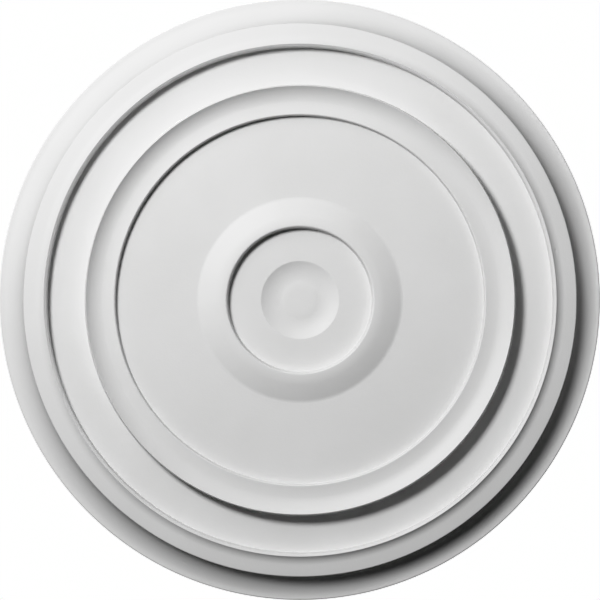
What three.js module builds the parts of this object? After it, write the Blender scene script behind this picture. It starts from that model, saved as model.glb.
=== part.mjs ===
// A round ceiling rose, moulded in one piece. It hangs face down: the flat back is at z = 0 against the
// ceiling, the origin is the middle of that back, and the ringed face looks along -Z.
import * as THREE from 'three';

// Driving dimensions in millimetres. A radius is measured from the axis, a drop down from the ceiling.

// The rim, and the cove that sweeps from it down to the outer band. The cove bends faster near the rim, so it
// is two arcs, which meet at the rim cove's radius and drop.
const RIM_RADIUS = 310;
const RIM_DROP = 5.7;
const RIM_CHAMFER = 1;
const RIM_COVE_RADIUS = 300.8;
const RIM_COVE_DROP = 6.8;
const RIM_COVE_BOW = 0.63;
const OUTER_COVE_RADIUS = 284.8;
const OUTER_COVE_DROP = 24;
const OUTER_COVE_BOW = 2.65;

// The outer band, the small cove that lifts it to the outer crest, and the crest's chamfered inner edge.
const OUTER_BAND_RADIUS = 273.3;
const OUTER_BAND_DROP = 25.3;
const OUTER_CREST_RADIUS = 263.8;
const OUTER_CREST_DROP = 29.9;
const OUTER_CREST_BOW = 1.05;
const OUTER_EDGE_RADIUS = 261;
const OUTER_EDGE_DROP = 27.5;

// The groove between the outer crest and the main crest. Its floor rises slightly towards the main crest.
const GROOVE_OUTER_RADIUS = 260.2;
const GROOVE_OUTER_DROP = 15.3;
const GROOVE_INNER_RADIUS = 222.1;
const GROOVE_INNER_DROP = 14.5;
const GROOVE_FILLET = 1.2;

// The main crest, which hangs lowest, the cove inside it, and the shallow trough that ends at the lip.
const MAIN_CREST_RADIUS = 220.5;
const MAIN_CREST_DROP = 33.4;
const INNER_COVE_RADIUS = 203.4;
const INNER_COVE_DROP = 24.8;
const INNER_COVE_BOW = 1.9;
const LIP_RADIUS = 192.4;
const LIP_DROP = 25.3;
const LIP_BOW = 0.2;
const LIP_EDGE_RADIUS = 190.6;
const LIP_EDGE_DROP = 24.6;

// The flat field and the wall that steps up to it from the lip.
const FIELD_OUTER_RADIUS = 189.5;
const FIELD_DROP = 17.4;

// The raised ring on the field: a slightly swelling flank, a rounded crest and a rounded inner edge.
const RING_FOOT_RADIUS = 105;
const RING_SHOULDER_RADIUS = 86.9;
const RING_SHOULDER_DROP = 23.7;
const RING_CREST_RADIUS = 77.25;
const RING_CREST_DROP = 25.2;
const RING_SWELL = 0.25;
const RING_EDGE_RADIUS = 75.3;
const RING_EDGE_DROP = 24.2;

// The recess inside the raised ring, where a lamp's canopy sits, and the dish at its centre.
const SEAT_OUTER_RADIUS = 73.8;
const SEAT_DROP = 15.4;
const DISH_RADIUS = 40.2;
const DISH_FLOOR_RADIUS = 15.9;
const DISH_FLOOR_DROP = 11.3;
const DISH_BOW = 1.7;

// How far the rounded edges of the lip and the raised ring swell above the straight line across them.
const EDGE_SWELL = 0.35;

// How finely the curves are cut into facets.
const SIDES = 96;
const COVE_STEPS = 6;
const SMALL_STEPS = 3;
const EDGE_STEPS = 2;

// A quarter circle's middle lies this part of its radius away from its chord.
const QUARTER_ARC_BOW = 1 - Math.SQRT1_2;

// The finish: white primer on moulded foam.
const PRIMER_WHITE = 0xe4e4e2;
const PRIMER_ROUGHNESS = 0.7;

// The section is drawn from the middle of the back, around the rim, and in over the face to the axis.
// x is a radius and y a height, so a drop is a negative y.
const section = [new THREE.Vector2(0, 0)];

function lineTo(radius, drop) {
  section.push(new THREE.Vector2(radius, -drop));
}

// A circular arc to the given point. The bow is how far its middle sinks below the straight line into the
// material, so a cove has a positive bow and a swelling a negative one.
function arcTo(radius, drop, bow, steps) {
  const start = section.at(-1);
  const end = new THREE.Vector2(radius, -drop);
  const chord = end.clone().sub(start);
  const middle = start.clone().add(end).multiplyScalar(0.5);
  const inward = new THREE.Vector2(chord.y, -chord.x).normalize();
  const arcRadius = (chord.lengthSq() / 4 + bow * bow) / (2 * bow);
  const centre = middle.clone().addScaledVector(inward, bow - arcRadius);
  const turn = 4 * Math.atan(bow / (chord.length() / 2));
  for (let step = 1; step <= steps; step += 1) {
    section.push(start.clone().rotateAround(centre, (turn * step) / steps));
  }
}

function drawRim() {
  lineTo(RIM_RADIUS, 0);
  lineTo(RIM_RADIUS, RIM_DROP - RIM_CHAMFER);
  lineTo(RIM_RADIUS - RIM_CHAMFER, RIM_DROP);
  arcTo(RIM_COVE_RADIUS, RIM_COVE_DROP, RIM_COVE_BOW, EDGE_STEPS);
  arcTo(OUTER_COVE_RADIUS, OUTER_COVE_DROP, OUTER_COVE_BOW, COVE_STEPS);
}

function drawOuterBand() {
  lineTo(OUTER_BAND_RADIUS, OUTER_BAND_DROP);
  arcTo(OUTER_CREST_RADIUS, OUTER_CREST_DROP, OUTER_CREST_BOW, SMALL_STEPS);
  lineTo(OUTER_EDGE_RADIUS, OUTER_EDGE_DROP);
}

function drawGroove() {
  lineTo(GROOVE_OUTER_RADIUS, GROOVE_OUTER_DROP);
  lineTo(GROOVE_INNER_RADIUS + GROOVE_FILLET, GROOVE_INNER_DROP);
  const filletDrop = GROOVE_INNER_DROP + GROOVE_FILLET;
  arcTo(GROOVE_INNER_RADIUS, filletDrop, GROOVE_FILLET * QUARTER_ARC_BOW, EDGE_STEPS);
}

function drawMainCrest() {
  lineTo(MAIN_CREST_RADIUS, MAIN_CREST_DROP);
  arcTo(INNER_COVE_RADIUS, INNER_COVE_DROP, INNER_COVE_BOW, COVE_STEPS);
  arcTo(LIP_RADIUS, LIP_DROP, LIP_BOW, EDGE_STEPS);
  arcTo(LIP_EDGE_RADIUS, LIP_EDGE_DROP, -EDGE_SWELL, EDGE_STEPS);
}

function drawField() {
  lineTo(FIELD_OUTER_RADIUS, FIELD_DROP);
  lineTo(RING_FOOT_RADIUS, FIELD_DROP);
}

function drawRaisedRing() {
  arcTo(RING_SHOULDER_RADIUS, RING_SHOULDER_DROP, -RING_SWELL, SMALL_STEPS);
  arcTo(RING_CREST_RADIUS, RING_CREST_DROP, -RING_SWELL, SMALL_STEPS);
  arcTo(RING_EDGE_RADIUS, RING_EDGE_DROP, -EDGE_SWELL, EDGE_STEPS);
}

function drawRecess() {
  lineTo(SEAT_OUTER_RADIUS, SEAT_DROP);
  lineTo(DISH_RADIUS, SEAT_DROP);
  arcTo(DISH_FLOOR_RADIUS, DISH_FLOOR_DROP, DISH_BOW, COVE_STEPS);
  lineTo(0, DISH_FLOOR_DROP);
}

drawRim();
drawOuterBand();
drawGroove();
drawMainCrest();
drawField();
drawRaisedRing();
drawRecess();

// The lathe turns about the Y axis, so the solid is laid over to stand about Z. The section runs clockwise
// as the lathe sees it, so it is reversed to make the faces point out.
const body = new THREE.LatheGeometry(section.reverse(), SIDES).rotateX(Math.PI / 2);

const primer = new THREE.MeshStandardMaterial({
  color: PRIMER_WHITE,
  roughness: PRIMER_ROUGHNESS,
  metalness: 0,
});

const ceilingRose = new THREE.Mesh(body, primer);
ceilingRose.name = 'ceiling_rose';

const part = new THREE.Group();
part.add(ceilingRose);

export default part;
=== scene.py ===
# %% [markdown]
# # A moulded ceiling rose
#
# A ceiling rose is the round ornament that a lamp hangs from. This one is a single disc of dense foam,
# cast in a mould and sprayed with matte white primer. It hangs face down, so in this file the flat back
# is at z = 0 against the ceiling and the ringed face looks down, along -Z.
#
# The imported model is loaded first. It is a fixed frame: the new piece is modelled in the same place and
# at the same size, and nothing in the frame is moved.

# %% Load the frame
import math

import bmesh
import bpy
from mathutils import Matrix, Vector


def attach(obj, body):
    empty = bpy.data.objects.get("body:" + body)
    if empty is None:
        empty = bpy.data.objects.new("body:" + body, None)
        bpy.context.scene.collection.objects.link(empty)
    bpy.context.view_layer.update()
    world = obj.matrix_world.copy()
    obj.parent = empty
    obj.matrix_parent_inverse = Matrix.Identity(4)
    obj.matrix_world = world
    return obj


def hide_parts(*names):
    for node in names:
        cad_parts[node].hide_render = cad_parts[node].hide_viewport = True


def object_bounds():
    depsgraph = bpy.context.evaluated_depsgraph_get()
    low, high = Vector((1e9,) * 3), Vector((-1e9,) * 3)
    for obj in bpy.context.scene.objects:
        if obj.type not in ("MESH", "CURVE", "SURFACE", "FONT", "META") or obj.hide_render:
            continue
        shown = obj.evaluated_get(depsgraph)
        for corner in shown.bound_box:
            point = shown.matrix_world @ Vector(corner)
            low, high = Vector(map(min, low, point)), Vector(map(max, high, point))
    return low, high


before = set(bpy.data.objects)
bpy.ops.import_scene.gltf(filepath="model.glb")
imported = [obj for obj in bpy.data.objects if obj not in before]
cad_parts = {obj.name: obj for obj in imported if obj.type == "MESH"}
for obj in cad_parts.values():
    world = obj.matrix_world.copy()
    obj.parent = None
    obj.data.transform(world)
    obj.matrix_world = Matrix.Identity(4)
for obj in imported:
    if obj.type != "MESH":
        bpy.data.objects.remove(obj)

cad_low, cad_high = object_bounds()
print("nodes in the frame:", sorted(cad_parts))
print("CAD box in metres:", [round(value, 4) for value in (*cad_low, *cad_high)])

# %% [markdown]
# ## How the form is made
#
# A plasterer runs a round moulding with a template: a metal sheet is cut to the outline of half the
# section, pinned at the centre, and swept round through wet plaster. The master for a cast rose is made
# the same way. A sculpted or subdivided disc could come close, but only a swept outline keeps every ring
# truly round and every arris crisp. So the template is drawn here as a chain of edges, and Blender's Spin
# sweeps it round.
#
# A chain of edges needs a first point. A plane is added at the centre of the back and its corners are
# merged, which leaves one vertex to extrude from. The frame's own nodes are still selected after loading,
# and an operator acts on all that is selected, so everything is deselected before that.

# %% Put down the template's first point
MM = 0.001
STARTER_SIZE = 10 * MM

bpy.ops.object.select_all(action="DESELECT")
bpy.ops.mesh.primitive_plane_add(size=STARTER_SIZE, location=(0, 0, 0))
rose = bpy.context.active_object
rose.name = "moulded_rose"
bpy.ops.object.mode_set(mode="EDIT")
bpy.ops.mesh.select_all(action="SELECT")
bpy.ops.mesh.merge(type="CENTER")
pencil = Vector((0.0, 0.0))
starter = bmesh.from_edit_mesh(rose.data)
print("the template starts at the centre of the back, with", len(starter.verts), "vertex")

# %% [markdown]
# ## Two strokes
#
# The whole outline takes two kinds of stroke. A straight run is an extrude of the last vertex. A round
# run is a Spin of that vertex about the arc's own centre, seen in the plane of the template.
#
# The arcs are given as a mason would measure them: where the arc ends, and its bow, which is how far the
# middle of the arc sinks below a straight edge laid across its ends. A hollow has a positive bow, a
# swelling a negative one. Radii are measured from the axis and drops down from the ceiling.

# %% Helpers that draw a straight run and an arc


def draw_run(radius, drop, steps=1):
    """Extrudes the template in a straight line, in equal steps, to this radius and drop."""
    global pencil
    end = Vector((radius, -drop))
    stride = (end - pencil) / steps
    for _ in range(steps):
        bpy.ops.mesh.extrude_region_move(TRANSFORM_OT_translate={"value": (stride.x, 0, stride.y)})
    pencil = end


def draw_arc(radius, drop, bow, steps=12):
    """Spins the template's last point along a circular arc to this radius and drop."""
    global pencil
    end = Vector((radius, -drop))
    chord = end - pencil
    inward = Vector((chord.y, -chord.x)).normalized()
    arc_radius = (chord.length_squared / 4 + bow * bow) / (2 * bow)
    centre = (pencil + end) / 2 + inward * (bow - arc_radius)
    turn = 4 * math.atan2(bow, chord.length / 2)
    bpy.ops.mesh.spin(steps=steps, angle=turn, center=(centre.x, 0, centre.y), axis=(0, 1, 0))
    pencil = end


def in_mm(point):
    """Rounds a place for printing, in millimetres."""
    return [round(value / MM, 1) for value in point]


print("the pencil stands at", in_mm(pencil))

# %% [markdown]
# ## Back, rim and outer cove
#
# The back is flat, to bear on the ceiling. The rim is a thin edge, and from it a deep hollow, a cove,
# sweeps down to the outer band. It starts almost level at the rim and ends almost upright. Like many
# hand-drawn coves it isn't one circle: it bends faster near the rim, so it is drawn as two arcs. The back
# and the long flats are drawn in several steps, so that the finished surface has enough points to carry
# the slight unevenness that is added later.

# %% Draw the back, the rim and the outer cove
RIM_RADIUS = cad_high.x
RIM_DROP = 5.7 * MM
RIM_COVE_RADIUS = 300.8 * MM
RIM_COVE_DROP = 6.8 * MM
RIM_COVE_BOW = 0.63 * MM
OUTER_COVE_RADIUS = 284.8 * MM
OUTER_COVE_DROP = 24.0 * MM
OUTER_COVE_BOW = 2.65 * MM

draw_run(RIM_RADIUS, 0, steps=24)
draw_run(RIM_RADIUS, RIM_DROP, steps=2)
draw_arc(RIM_COVE_RADIUS, RIM_COVE_DROP, RIM_COVE_BOW, steps=6)
draw_arc(OUTER_COVE_RADIUS, OUTER_COVE_DROP, OUTER_COVE_BOW, steps=16)
print("the outer cove ends at", in_mm(pencil))

# %% [markdown]
# ## Outer band and outer crest
#
# Inside the cove a narrow band runs nearly level, then a small hollow lifts it to a crest. The crest's
# inner edge is cut off by a plain chamfer.

# %% Draw the outer band and its crest
OUTER_BAND_RADIUS = 273.3 * MM
OUTER_BAND_DROP = 25.3 * MM
OUTER_CREST_RADIUS = 263.8 * MM
OUTER_CREST_DROP = 29.9 * MM
OUTER_CREST_BOW = 1.05 * MM
OUTER_EDGE_RADIUS = 261.0 * MM
OUTER_EDGE_DROP = 27.5 * MM

draw_run(OUTER_BAND_RADIUS, OUTER_BAND_DROP, steps=2)
draw_arc(OUTER_CREST_RADIUS, OUTER_CREST_DROP, OUTER_CREST_BOW, steps=8)
draw_run(OUTER_EDGE_RADIUS, OUTER_EDGE_DROP, steps=2)
print("the outer crest turns over at", in_mm(pencil))

# %% [markdown]
# ## Groove
#
# Inside the outer crest the surface steps back towards the ceiling into a wide flat groove. Its walls
# lean, as every wall of a casting must so that the piece comes out of the mould, and the inner one has a
# small fillet at its foot. The floor rises slightly towards the main crest.

# %% Draw the groove
GROOVE_OUTER_RADIUS = 260.2 * MM
GROOVE_INNER_RADIUS = 222.1 * MM
GROOVE_OUTER_DROP = 15.3 * MM
GROOVE_INNER_DROP = 14.5 * MM
GROOVE_FILLET = 1.2 * MM
QUARTER_ARC_BOW = 1 - math.sqrt(0.5)

draw_run(GROOVE_OUTER_RADIUS, GROOVE_OUTER_DROP, steps=2)
draw_run(GROOVE_INNER_RADIUS + GROOVE_FILLET, GROOVE_INNER_DROP, steps=5)
fillet_drop = GROOVE_INNER_DROP + GROOVE_FILLET
draw_arc(GROOVE_INNER_RADIUS, fillet_drop, GROOVE_FILLET * QUARTER_ARC_BOW, steps=4)
print("the groove's inner wall starts at", in_mm(pencil))

# %% [markdown]
# ## Main crest, inner cove and lip
#
# The main crest hangs lowest of all, so its drop is the depth of the CAD box. Inside it a hollow sweeps
# back to a shallow trough, which ends at a lip with a rounded edge. A rounded edge is the swelling kind
# of arc, with a negative bow.

# %% Draw the main crest, the inner cove and the lip
MAIN_CREST_RADIUS = 220.5 * MM
MAIN_CREST_DROP = -cad_low.z
INNER_COVE_RADIUS = 203.4 * MM
INNER_COVE_DROP = 24.8 * MM
INNER_COVE_BOW = 1.9 * MM
LIP_RADIUS = 192.4 * MM
LIP_DROP = 25.3 * MM
LIP_BOW = 0.2 * MM
LIP_EDGE_RADIUS = 190.6 * MM
LIP_EDGE_DROP = 24.6 * MM
EDGE_SWELL = 0.35 * MM

draw_run(MAIN_CREST_RADIUS, MAIN_CREST_DROP, steps=3)
draw_arc(INNER_COVE_RADIUS, INNER_COVE_DROP, INNER_COVE_BOW, steps=14)
draw_arc(LIP_RADIUS, LIP_DROP, LIP_BOW, steps=4)
draw_arc(LIP_EDGE_RADIUS, LIP_EDGE_DROP, -EDGE_SWELL, steps=5)
print("the lip turns over at", in_mm(pencil))

# %% [markdown]
# ## Field
#
# A leaning wall steps back from the lip to the field, the large flat ring of the face.

# %% Draw the field
FIELD_OUTER_RADIUS = 189.5 * MM
FIELD_DROP = 17.4 * MM
RING_FOOT_RADIUS = 105.0 * MM

draw_run(FIELD_OUTER_RADIUS, FIELD_DROP, steps=2)
draw_run(RING_FOOT_RADIUS, FIELD_DROP, steps=12)
print("the field ends at", in_mm(pencil))

# %% [markdown]
# ## Raised ring
#
# The raised ring swells from the field in a slightly rounded flank, flattens towards its crest and turns
# over into the recess. Three arcs of negative bow draw it: a long flat one for the flank, one for the
# crest, and a short one for the inner edge.

# %% Draw the raised ring
RING_SHOULDER_RADIUS = 86.9 * MM
RING_SHOULDER_DROP = 23.7 * MM
RING_CREST_RADIUS = 77.25 * MM
RING_CREST_DROP = 25.2 * MM
RING_SWELL = 0.25 * MM
RING_EDGE_RADIUS = 75.3 * MM
RING_EDGE_DROP = 24.2 * MM

draw_arc(RING_SHOULDER_RADIUS, RING_SHOULDER_DROP, -RING_SWELL, steps=8)
draw_arc(RING_CREST_RADIUS, RING_CREST_DROP, -RING_SWELL, steps=8)
draw_arc(RING_EDGE_RADIUS, RING_EDGE_DROP, -EDGE_SWELL, steps=5)
print("the raised ring turns over at", in_mm(pencil))

# %% [markdown]
# ## Recess and dish
#
# Inside the raised ring is the flat seat that takes the lamp's canopy, and at the centre a shallow dish.
# The outline ends on the axis, which closes the form when it is swept round.

# %% Draw the recess and the dish
SEAT_OUTER_RADIUS = 73.8 * MM
SEAT_DROP = 15.4 * MM
DISH_RADIUS = 40.2 * MM
DISH_FLOOR_RADIUS = 15.9 * MM
DISH_FLOOR_DROP = 11.3 * MM
DISH_BOW = 1.7 * MM

draw_run(SEAT_OUTER_RADIUS, SEAT_DROP, steps=2)
draw_run(DISH_RADIUS, SEAT_DROP, steps=5)
draw_arc(DISH_FLOOR_RADIUS, DISH_FLOOR_DROP, DISH_BOW, steps=14)
draw_run(0, DISH_FLOOR_DROP, steps=3)
print("template drawn with", len(bmesh.from_edit_mesh(rose.data).verts), "points")

# %% [markdown]
# ## Sweep the template round
#
# Spin turns the whole chain about Z. The first and last copy then lie on each other, and so do all the
# copies of the two points on the axis, so doubles are merged. After that the normals are recalculated,
# because a spun surface can come out facing inwards.

# %% Spin the template into a solid
SIDES = 360
SEAM_GAP = 0.005 * MM

bpy.ops.mesh.select_all(action="SELECT")
bpy.ops.mesh.spin(steps=SIDES, angle=math.tau, center=(0, 0, 0), axis=(0, 0, 1))
bpy.ops.mesh.select_all(action="SELECT")
bpy.ops.mesh.remove_doubles(threshold=SEAM_GAP)
bpy.ops.mesh.normals_make_consistent(inside=False)
swept = bmesh.from_edit_mesh(rose.data)
print("swept form:", len(swept.faces), "faces, open edges:", sum(edge.is_boundary for edge in swept.edges))

# %% [markdown]
# ## Soften the arrises
#
# No casting has knife edges. Primer rounds the crests a little, and it gathers in the inner corners.
# Bevelling each ring of edges in edit mode gives every arris its own width, which one Bevel modifier
# could not. The foot of the raised ring gets the widest bevel, because there the flank runs out softly
# into the field. The edges of a ring are selected by their place: both ends at the same radius and drop.

# %% Bevel each ring of edges
RING_MATCH = 0.05 * MM
SOFT_STEPS = 3


def soften(radius, drop, width):
    """Bevels the ring of edges at this radius and drop, and returns how many edges it had."""
    bpy.ops.mesh.select_mode(type="EDGE")
    bpy.ops.mesh.select_all(action="DESELECT")
    form = bmesh.from_edit_mesh(rose.data)
    chosen = 0
    for edge in form.edges:
        on_ring = [
            abs(vert.co.xy.length - radius) < RING_MATCH and abs(vert.co.z + drop) < RING_MATCH
            for vert in edge.verts
        ]
        if all(on_ring):
            edge.select_set(True)
            chosen += 1
    bmesh.update_edit_mesh(rose.data)
    bpy.ops.mesh.bevel(offset=width, segments=SOFT_STEPS, affect="EDGES")
    return chosen


ARRISES = {
    "back edge": (RIM_RADIUS, 0, 0.8 * MM),
    "rim": (RIM_RADIUS, RIM_DROP, 1.3 * MM),
    "outer cove": (OUTER_COVE_RADIUS, OUTER_COVE_DROP, 0.9 * MM),
    "outer crest": (OUTER_CREST_RADIUS, OUTER_CREST_DROP, 0.3 * MM),
    "outer edge": (OUTER_EDGE_RADIUS, OUTER_EDGE_DROP, 0.6 * MM),
    "groove foot": (GROOVE_OUTER_RADIUS, GROOVE_OUTER_DROP, 0.6 * MM),
    "main crest": (MAIN_CREST_RADIUS, MAIN_CREST_DROP, 0.9 * MM),
    "lip": (LIP_RADIUS, LIP_DROP, 0.3 * MM),
    "lip edge": (LIP_EDGE_RADIUS, LIP_EDGE_DROP, 0.3 * MM),
    "field foot": (FIELD_OUTER_RADIUS, FIELD_DROP, 0.5 * MM),
    "ring foot": (RING_FOOT_RADIUS, FIELD_DROP, 1.7 * MM),
    "ring crest": (RING_CREST_RADIUS, RING_CREST_DROP, 0.35 * MM),
    "ring edge": (RING_EDGE_RADIUS, RING_EDGE_DROP, 0.35 * MM),
    "seat foot": (SEAT_OUTER_RADIUS, SEAT_DROP, 0.6 * MM),
    "dish edge": (DISH_RADIUS, SEAT_DROP, 0.5 * MM),
}
for arris, measures in ARRISES.items():
    print(arris, "softened along", soften(*measures), "edges")
bpy.ops.object.mode_set(mode="OBJECT")

# %% [markdown]
# ## Small marks of the casting
#
# A close look shows a few tiny faults, each about a millimetre wide: pits where an air bubble broke the
# surface, a nick in the outer crest, and nibs of dust under the primer. They could be painted on, but a
# real dent also catches the light. So the face under each mark is subdivided, and its middle point is
# moved with proportional editing, which pulls its neighbours along in a round dimple.

# %% Press in the pits and raise the nibs
MARK_CUTS = 6
MARKS = {
    "pit on the field": ((156.4 * MM, -62.8 * MM), 1.3 * MM, 0.35 * MM),
    "pit in the groove": ((-184.0 * MM, 150.5 * MM), 0.9 * MM, 0.45 * MM),
    "pit in the outer cove": ((-119.5 * MM, 270.9 * MM), 1.0 * MM, 0.45 * MM),
    "nick by the outer crest": ((262.8 * MM, -51.3 * MM), 1.2 * MM, 0.6 * MM),
    "nib in the inner cove": ((-141.1 * MM, -159.6 * MM), 0.9 * MM, -0.25 * MM),
    "nib by the lip": ((-118.2 * MM, -156.2 * MM), 0.8 * MM, -0.3 * MM),
}


def dimple(place, reach, depth):
    """Moves the face's surface at this place into the rose by the depth, or out by a negative one."""
    target = Vector(place)
    bpy.ops.mesh.select_mode(type="FACE")
    bpy.ops.mesh.select_all(action="DESELECT")
    form = bmesh.from_edit_mesh(rose.data)
    downward = [face for face in form.faces if face.normal.z < 0]
    nearest = min(downward, key=lambda face: (face.calc_center_median().xy - target).length)
    inward = -nearest.normal.copy()
    nearest.select_set(True)
    bmesh.update_edit_mesh(rose.data)
    bpy.ops.mesh.subdivide(number_cuts=MARK_CUTS)
    form = bmesh.from_edit_mesh(rose.data)
    cut = [vert for vert in form.verts if vert.select]
    middle = min(cut, key=lambda vert: (vert.co.xy - target).length)
    bpy.ops.mesh.select_mode(type="VERT")
    bpy.ops.mesh.select_all(action="DESELECT")
    middle.select_set(True)
    bmesh.update_edit_mesh(rose.data)
    bpy.ops.transform.translate(
        value=inward * depth,
        use_proportional_edit=True,
        proportional_edit_falloff="SMOOTH",
        proportional_size=reach,
    )
    return middle.co.copy()


bpy.ops.object.mode_set(mode="EDIT")
for mark, measures in MARKS.items():
    spot = dimple(*measures)
    print(mark, "at", in_mm(spot))
bpy.ops.object.mode_set(mode="OBJECT")

# %% [markdown]
# ## Slight unevenness
#
# A mould taken from a hand-finished master is never perfectly flat. A Displace modifier lifts and lowers
# the face by about a tenth of a millimetre in soft waves. Only the face may move: the back has to stay
# flat against the ceiling. So the vertices below the rim go into a vertex group, and the modifier is
# limited to it. It moves points along Z only, so the rings stay round.

# %% Add the soft waves to the face
WAVE_LENGTH = 70 * MM
WAVE_HEIGHT = 0.3 * MM

face_group = rose.vertex_groups.new(name="face")
face_group.add([vert.index for vert in rose.data.vertices if vert.co.z < -RIM_DROP], 1.0, "REPLACE")
waves = bpy.data.textures.new("casting_waves", "CLOUDS")
waves.noise_scale = WAVE_LENGTH
uneven = rose.modifiers.new("unevenness", "DISPLACE")
uneven.texture = waves
uneven.texture_coords = "LOCAL"
uneven.direction = "Z"
uneven.strength = WAVE_HEIGHT
uneven.vertex_group = face_group.name
depth_before = min(vert.co.z for vert in rose.data.vertices)
bpy.ops.object.modifier_apply(modifier=uneven.name)
depth_after = min(vert.co.z for vert in rose.data.vertices)
print("lowest point moved by", round((depth_after - depth_before) / MM, 3), "mm")

# %% [markdown]
# ## Shading
#
# Smooth shading averages the normals of neighbouring faces, and beside a thin bevel that makes a wide
# flat look dished. Two steps avoid it: edges sharper than an angle stay sharp, and a Weighted Normal
# modifier lets the large faces decide the normals, so the flats look flat and only the bevels look round.

# %% Shade the form
SHARP_ANGLE = math.radians(35)

bpy.ops.object.shade_smooth_by_angle(angle=SHARP_ANGLE)
weighted = rose.modifiers.new("flat_faces_first", "WEIGHTED_NORMAL")
weighted.keep_sharp = True
bpy.ops.object.modifier_apply(modifier=weighted.name)
triangles = sum(len(face.vertices) - 2 for face in rose.data.polygons)
print("the rose has", triangles, "triangles")

# %% [markdown]
# ## Node helpers
#
# Both finishes are patterns worked out from Object coordinates, so they need no image and no unwrapping,
# and they stay in place from every side. Object coordinates are in metres, so a noise of scale 1 / size
# has lumps about that size across.

# %% Helpers for the finishes


def start_finish(name):
    """Makes a material and returns it with its node tree, its shader and its Object coordinates."""
    finish = bpy.data.materials.new(name)
    finish.use_nodes = True
    tree = finish.node_tree
    shader = tree.nodes["Principled BSDF"]
    place = tree.nodes.new("ShaderNodeTexCoord").outputs["Object"]
    return finish, tree, shader, place


def add_lumps(tree, place, size, detail):
    """Adds a noise whose lumps are about this size across, and returns its 0 to 1 height."""
    noise = tree.nodes.new("ShaderNodeTexNoise")
    noise.inputs["Scale"].default_value = 1 / size
    noise.inputs["Detail"].default_value = detail
    tree.links.new(place, noise.inputs["Vector"])
    return noise.outputs["Fac"]


def add_range(tree, value, low, high, from_low=0.3, from_high=0.7):
    """Spreads a value from one range over another and returns the result."""
    spread = tree.nodes.new("ShaderNodeMapRange")
    spread.inputs["From Min"].default_value = from_low
    spread.inputs["From Max"].default_value = from_high
    spread.inputs["To Min"].default_value = low
    spread.inputs["To Max"].default_value = high
    tree.links.new(value, spread.inputs["Value"])
    return spread.outputs["Result"]


def add_tint(tree, amount, low_colour, high_colour):
    """Blends two colours by an amount from 0 to 1 and returns the blend."""
    ramp = tree.nodes.new("ShaderNodeValToRGB")
    ramp.color_ramp.elements[0].color = (*low_colour, 1)
    ramp.color_ramp.elements[1].color = (*high_colour, 1)
    tree.links.new(amount, ramp.inputs["Fac"])
    return ramp.outputs["Color"]


def add_relief(tree, height, depth, below=None):
    """Turns a 0 to 1 height into a bump this deep, on top of another bump if one is given."""
    bump = tree.nodes.new("ShaderNodeBump")
    bump.inputs["Distance"].default_value = depth
    tree.links.new(height, bump.inputs["Height"])
    if below is not None:
        tree.links.new(below, bump.inputs["Normal"])
    return bump.outputs["Normal"]


print("finish helpers ready")

# %% [markdown]
# ## Matte white primer
#
# The face wears one sprayed coat of white primer. Three things keep it from looking like plain white
# plastic: the coat is a little thicker in some places than in others, which shifts the white very
# slightly; wet spray dries with an orange-peel skin a few millimetres across; and dry spray leaves a fine
# grain, which shows only where the light grazes the surface.

# %% Mix the primer
COAT_PATCH = 90 * MM
PEEL_SIZE = 5 * MM
PEEL_DEPTH = 0.06 * MM
GRAIN_SIZE = 1.3 * MM
GRAIN_DEPTH = 0.06 * MM
THIN_WHITE = (0.735, 0.735, 0.732)
THICK_WHITE = (0.765, 0.765, 0.764)
SMOOTHEST_PRIMER = 0.48
ROUGHEST_PRIMER = 0.58
PRIMER_SHEEN = 0.35

primer, tree, shader, place = start_finish("matte_white_primer")
coat = add_range(tree, add_lumps(tree, place, COAT_PATCH, detail=4), 0, 1)
tree.links.new(add_tint(tree, coat, THIN_WHITE, THICK_WHITE), shader.inputs["Base Color"])
grain = add_lumps(tree, place, GRAIN_SIZE, detail=2)
tree.links.new(add_range(tree, grain, SMOOTHEST_PRIMER, ROUGHEST_PRIMER), shader.inputs["Roughness"])
peel = add_relief(tree, add_lumps(tree, place, PEEL_SIZE, detail=1), PEEL_DEPTH)
tree.links.new(add_relief(tree, grain, GRAIN_DEPTH, below=peel), shader.inputs["Normal"])
shader.inputs["Specular IOR Level"].default_value = PRIMER_SHEEN
rose.data.materials.append(primer)
print("primer has", len(tree.nodes), "nodes")

# %% [markdown]
# ## Bare foam on the back
#
# The back is glued to the ceiling and nobody sees it, so it is left as it came from the mould: pale foam
# with a skin, and pits here and there where a small bubble met the mould. The bubbles are cells of a
# Voronoi pattern, and each cell's random colour sets how wide its pit is. Each pit is dented by a bump and
# also painted a darker colour, which is painted shade for the shadow inside the hollow. The spray gun
# caught only the edge of the back, where the primer fades out in a mottled band. The distance from the
# axis, roughened by a noise, sets where that band ends.

# %% Mix the foam
FOAM_PATCH = 30 * MM
PIT_SPACING = 5 * MM
SMALLEST_PIT = 0.01
LARGEST_PIT = 0.22
PIT_DEPTH = 0.4 * MM
OVERSPRAY_INNER = RIM_RADIUS - 22 * MM
OVERSPRAY_RAGGED = 14 * MM
DARK_FOAM = (0.69, 0.655, 0.57)
PALE_FOAM = (0.74, 0.71, 0.63)
PIT_PAINTED_SHADE = (0.50, 0.46, 0.37)
PIT_ROUGHNESS = 0.9
SKIN_ROUGHNESS = 0.72

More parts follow.
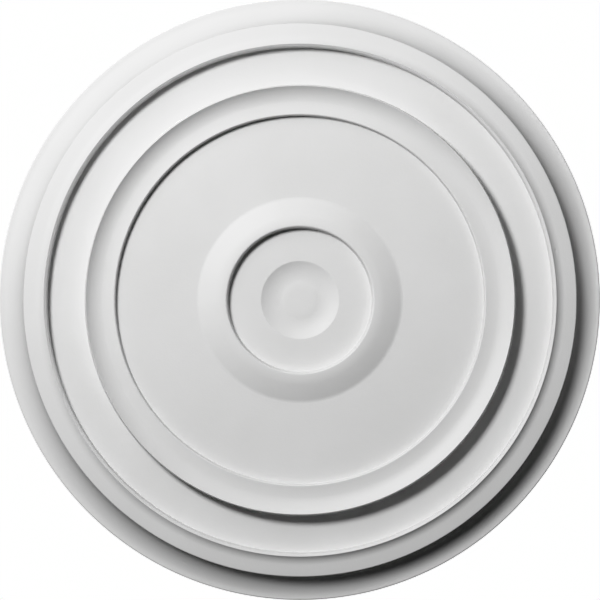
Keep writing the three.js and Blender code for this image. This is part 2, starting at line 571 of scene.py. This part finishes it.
foam, tree, shader, place = start_finish("bare_foam")
patches = add_range(tree, add_lumps(tree, place, FOAM_PATCH, detail=8), 0, 1)
foam_colour = add_tint(tree, patches, DARK_FOAM, PALE_FOAM)
pits = tree.nodes.new("ShaderNodeTexVoronoi")
pits.inputs["Scale"].default_value = 1 / PIT_SPACING
tree.links.new(place, pits.inputs["Vector"])
pit_radius = add_range(tree, pits.outputs["Color"], SMALLEST_PIT, LARGEST_PIT, 0, 1)
skin = add_range(tree, pits.outputs["Distance"], 0, 1, 0, LARGEST_PIT)
tree.links.new(pit_radius, skin.node.inputs["From Max"])
# Painted shade: each pit is mixed towards a darker colour that stands in for the shadow inside the hollow.
pits_painted_shade = tree.nodes.new("ShaderNodeMix")
pits_painted_shade.data_type = "RGBA"
tree.links.new(skin, pits_painted_shade.inputs["Factor"])
pits_painted_shade.inputs["A"].default_value = (*PIT_PAINTED_SHADE, 1)
tree.links.new(foam_colour, pits_painted_shade.inputs["B"])
radius = tree.nodes.new("ShaderNodeVectorMath")
radius.operation = "LENGTH"
tree.links.new(place, radius.inputs[0])
mottle = add_lumps(tree, place, OVERSPRAY_RAGGED, detail=5)
ragged = add_range(tree, mottle, -OVERSPRAY_RAGGED, OVERSPRAY_RAGGED)
edge = tree.nodes.new("ShaderNodeMath")
tree.links.new(radius.outputs["Value"], edge.inputs[0])
tree.links.new(ragged, edge.inputs[1])
sprayed = add_range(tree, edge.outputs["Value"], 0, 1, OVERSPRAY_INNER, RIM_RADIUS)
blend = tree.nodes.new("ShaderNodeMix")
blend.data_type = "RGBA"
tree.links.new(sprayed, blend.inputs["Factor"])
tree.links.new(pits_painted_shade.outputs["Result"], blend.inputs["A"])
blend.inputs["B"].default_value = (*THIN_WHITE, 1)
tree.links.new(blend.outputs["Result"], shader.inputs["Base Color"])
dullness = add_range(tree, skin, PIT_ROUGHNESS, SKIN_ROUGHNESS, 0, 1)
tree.links.new(dullness, shader.inputs["Roughness"])
tree.links.new(add_relief(tree, skin, PIT_DEPTH), shader.inputs["Normal"])
rose.data.materials.append(foam)
print("foam has", len(tree.nodes), "nodes")

# %% [markdown]
# ## Which faces are bare
#
# Every face has the first material until another is assigned. The faces of the back are the ones that
# look up, so they are selected by their normal and take the second material.

# %% Give the back its foam
LOOKS_UP = 0.99

bpy.ops.object.mode_set(mode="EDIT")
bpy.ops.mesh.select_mode(type="FACE")
bpy.ops.mesh.select_all(action="DESELECT")
form = bmesh.from_edit_mesh(rose.data)
for face in form.faces:
    face.select_set(face.normal.z > LOOKS_UP)
back_faces = sum(face.select for face in form.faces)
bmesh.update_edit_mesh(rose.data)
rose.active_material_index = rose.data.materials.find(foam.name)
bpy.ops.object.material_slot_assign()
bpy.ops.object.mode_set(mode="OBJECT")
print(back_faces, "faces of the back are bare foam")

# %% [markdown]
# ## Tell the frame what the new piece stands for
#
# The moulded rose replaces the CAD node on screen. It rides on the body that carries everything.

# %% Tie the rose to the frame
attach(rose, "root")
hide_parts("ceiling_rose")
print(rose.name, "stands for the CAD rose")

# %% [markdown]
# ## Camera
#
# The picture looks straight up at the middle of the rose, from far enough away that the rings stay
# concentric. The lens is chosen so that the rim just touches the edges of a square picture. Looking up
# from below with +X to the right puts -Y at the top of the picture.

# %% Place the camera
SENSOR_WIDTH = 36.0
CAMERA_DISTANCE = 5.0

camera_data = bpy.data.cameras.new("camera")
camera_data.sensor_width = SENSOR_WIDTH
camera_data.lens = SENSOR_WIDTH * CAMERA_DISTANCE / (2 * RIM_RADIUS)
camera = bpy.data.objects.new("camera", camera_data)
bpy.context.scene.collection.objects.link(camera)
right = Vector((1, 0, 0))
up = Vector((0, -1, 0))
back = Vector((0, 0, -1))
camera.matrix_world = Matrix((right, up, back)).transposed().to_4x4()
camera.location = back * (CAMERA_DISTANCE + RIM_DROP)
bpy.context.scene.camera = camera
print("camera at", in_mm(camera.location), "mm, lens", round(camera_data.lens, 1), "mm")

# %% [markdown]
# ## Light
#
# Relief this shallow lives by its shadows. One round softbox from the upper left of the picture, a little
# more than halfway up from the face, draws a dark line under every step on one side and a soft shadow on
# the other. A much larger and weaker light beside it keeps the shadows from going black, and a weak one
# from the upper right opens the shaded coves on that side. A fourth light, over the back, does nothing
# for the face, but shows the back and the rim when the rose is seen from above.
#
# A softbox shines strongest straight ahead. The key softbox is aimed past the upper right of the rose and
# not at its middle, so the lower left of the face gets a little less light, as it does in the picture.
#
# Directions are given as they look in the picture: the azimuth runs anticlockwise from the right, and the
# elevation is measured from the plane of the face towards the camera.

# %% Hang the lights


def hang_light(name, azimuth, elevation, distance, size, watts, aim=(0, 0)):
    """Hangs a round area light in this direction from the rose and aims it at a place in the picture."""
    across = math.cos(math.radians(elevation)) * distance
    aside = across * math.cos(math.radians(azimuth))
    above = across * math.sin(math.radians(azimuth))
    toward = distance * math.sin(math.radians(elevation))
    spot = right * aside + up * above + back * toward
    lamp_data = bpy.data.lights.new(name, "AREA")
    lamp_data.shape = "DISK"
    lamp_data.size = size
    lamp_data.energy = watts
    lamp = bpy.data.objects.new(name, lamp_data)
    lamp.location = spot
    target = right * aim[0] + up * aim[1]
    lamp.rotation_euler = (target - spot).to_track_quat("-Z", "Y").to_euler()
    lamp.visible_camera = False
    bpy.context.scene.collection.objects.link(lamp)
    print(name, "at", [round(value, 2) for value in spot])


KEY_AIM = (1.0, 0.65)
OVERHEAD_STRENGTH = 2.7
OVERHEAD_SPREAD = math.radians(100)

hang_light("key_softbox", azimuth=134.5, elevation=55.2, distance=2.1, size=0.55, watts=36.6, aim=KEY_AIM)
hang_light("large_fill", azimuth=121.4, elevation=39.5, distance=3.0, size=2.0, watts=16.0)
hang_light("side_fill", azimuth=42, elevation=16, distance=3.0, size=1.4, watts=4.6)
bpy.ops.object.light_add(type="SUN", location=(0, 0, 1))
overhead = bpy.context.active_object
overhead.name = "overhead_light"
overhead.data.energy = OVERHEAD_STRENGTH
overhead.data.angle = OVERHEAD_SPREAD
print(overhead.name, "shines down on the back")

# %% [markdown]
# ## Surroundings
#
# The rose hangs in front of plain white, and a pale floor lies far below it, behind the camera. A world
# as bright as that white would flood the shadows, so a Light Path node shows the white to the camera only
# and lights the rose with a very dim grey. For the same reason the floor throws no light back onto the
# face.

# %% Make the floor and the white surroundings
FLOOR_DROP = 5.5
FLOOR_SIZE = 80.0
FLOOR_PATCH = 1.5
FLOOR_GREY = (0.80, 0.80, 0.79)
FLOOR_WHITE = (0.83, 0.83, 0.82)
FLOOR_ROUGHNESS = 0.8
ROOM_LIGHT = 0.054

bpy.ops.object.select_all(action="DESELECT")
bpy.ops.mesh.primitive_plane_add(size=FLOOR_SIZE, location=(0, 0, -FLOOR_DROP))
floor = bpy.context.active_object
floor.name = "pale_floor"
floor.visible_diffuse = False
floor.visible_glossy = False
floor_paint, tree, shader, place = start_finish("pale_floor_paint")
shade = add_range(tree, add_lumps(tree, place, FLOOR_PATCH, detail=3), 0, 1)
tree.links.new(add_tint(tree, shade, FLOOR_GREY, FLOOR_WHITE), shader.inputs["Base Color"])
shader.inputs["Roughness"].default_value = FLOOR_ROUGHNESS
floor.data.materials.append(floor_paint)

world = bpy.data.worlds.new("white_surroundings")
bpy.context.scene.world = world
world.use_nodes = True
sky = world.node_tree.nodes["Background"]
sky.inputs["Color"].default_value = (1, 1, 1, 1)
rays = world.node_tree.nodes.new("ShaderNodeLightPath")
brightness = add_range(world.node_tree, rays.outputs["Is Camera Ray"], ROOM_LIGHT, 1, 0, 1)
world.node_tree.links.new(brightness, sky.inputs["Strength"])
print("floor", FLOOR_DROP, "m below the ceiling, room light", ROOM_LIGHT)

# %% [markdown]
# ## Contrast
#
# A product photograph is developed with contrast: the deepest shadows are pressed down, and the brightest
# parts of a white object are held below the white of the page, so that it stands out from it. Blender
# does the same with a curve that is applied to the light before it is shown. Each point gives an amount
# of light and how bright it is shown. Straight handles keep the curve from overshooting between the
# points. Of the four curves that Blender keeps, the last one acts on all colours alike.

# %% Draw the contrast curve
ALL_COLOURS = 3
SHADOW_POINT = (0.05, 0.017)
SHOULDER_POINTS = ((0.68, 0.76), (0.765, 0.83), (0.85, 0.87), (0.95, 0.897))

view = bpy.context.scene.view_settings
view.view_transform = "Standard"
view.use_curve_mapping = True
contrast = view.curve_mapping.curves[ALL_COLOURS]
for light, shown in (SHADOW_POINT, *SHOULDER_POINTS):
    contrast.points.new(light, shown)
for point in contrast.points:
    point.handle_type = "VECTOR"
view.curve_mapping.update()
print("contrast curve with", len(contrast.points), "points")
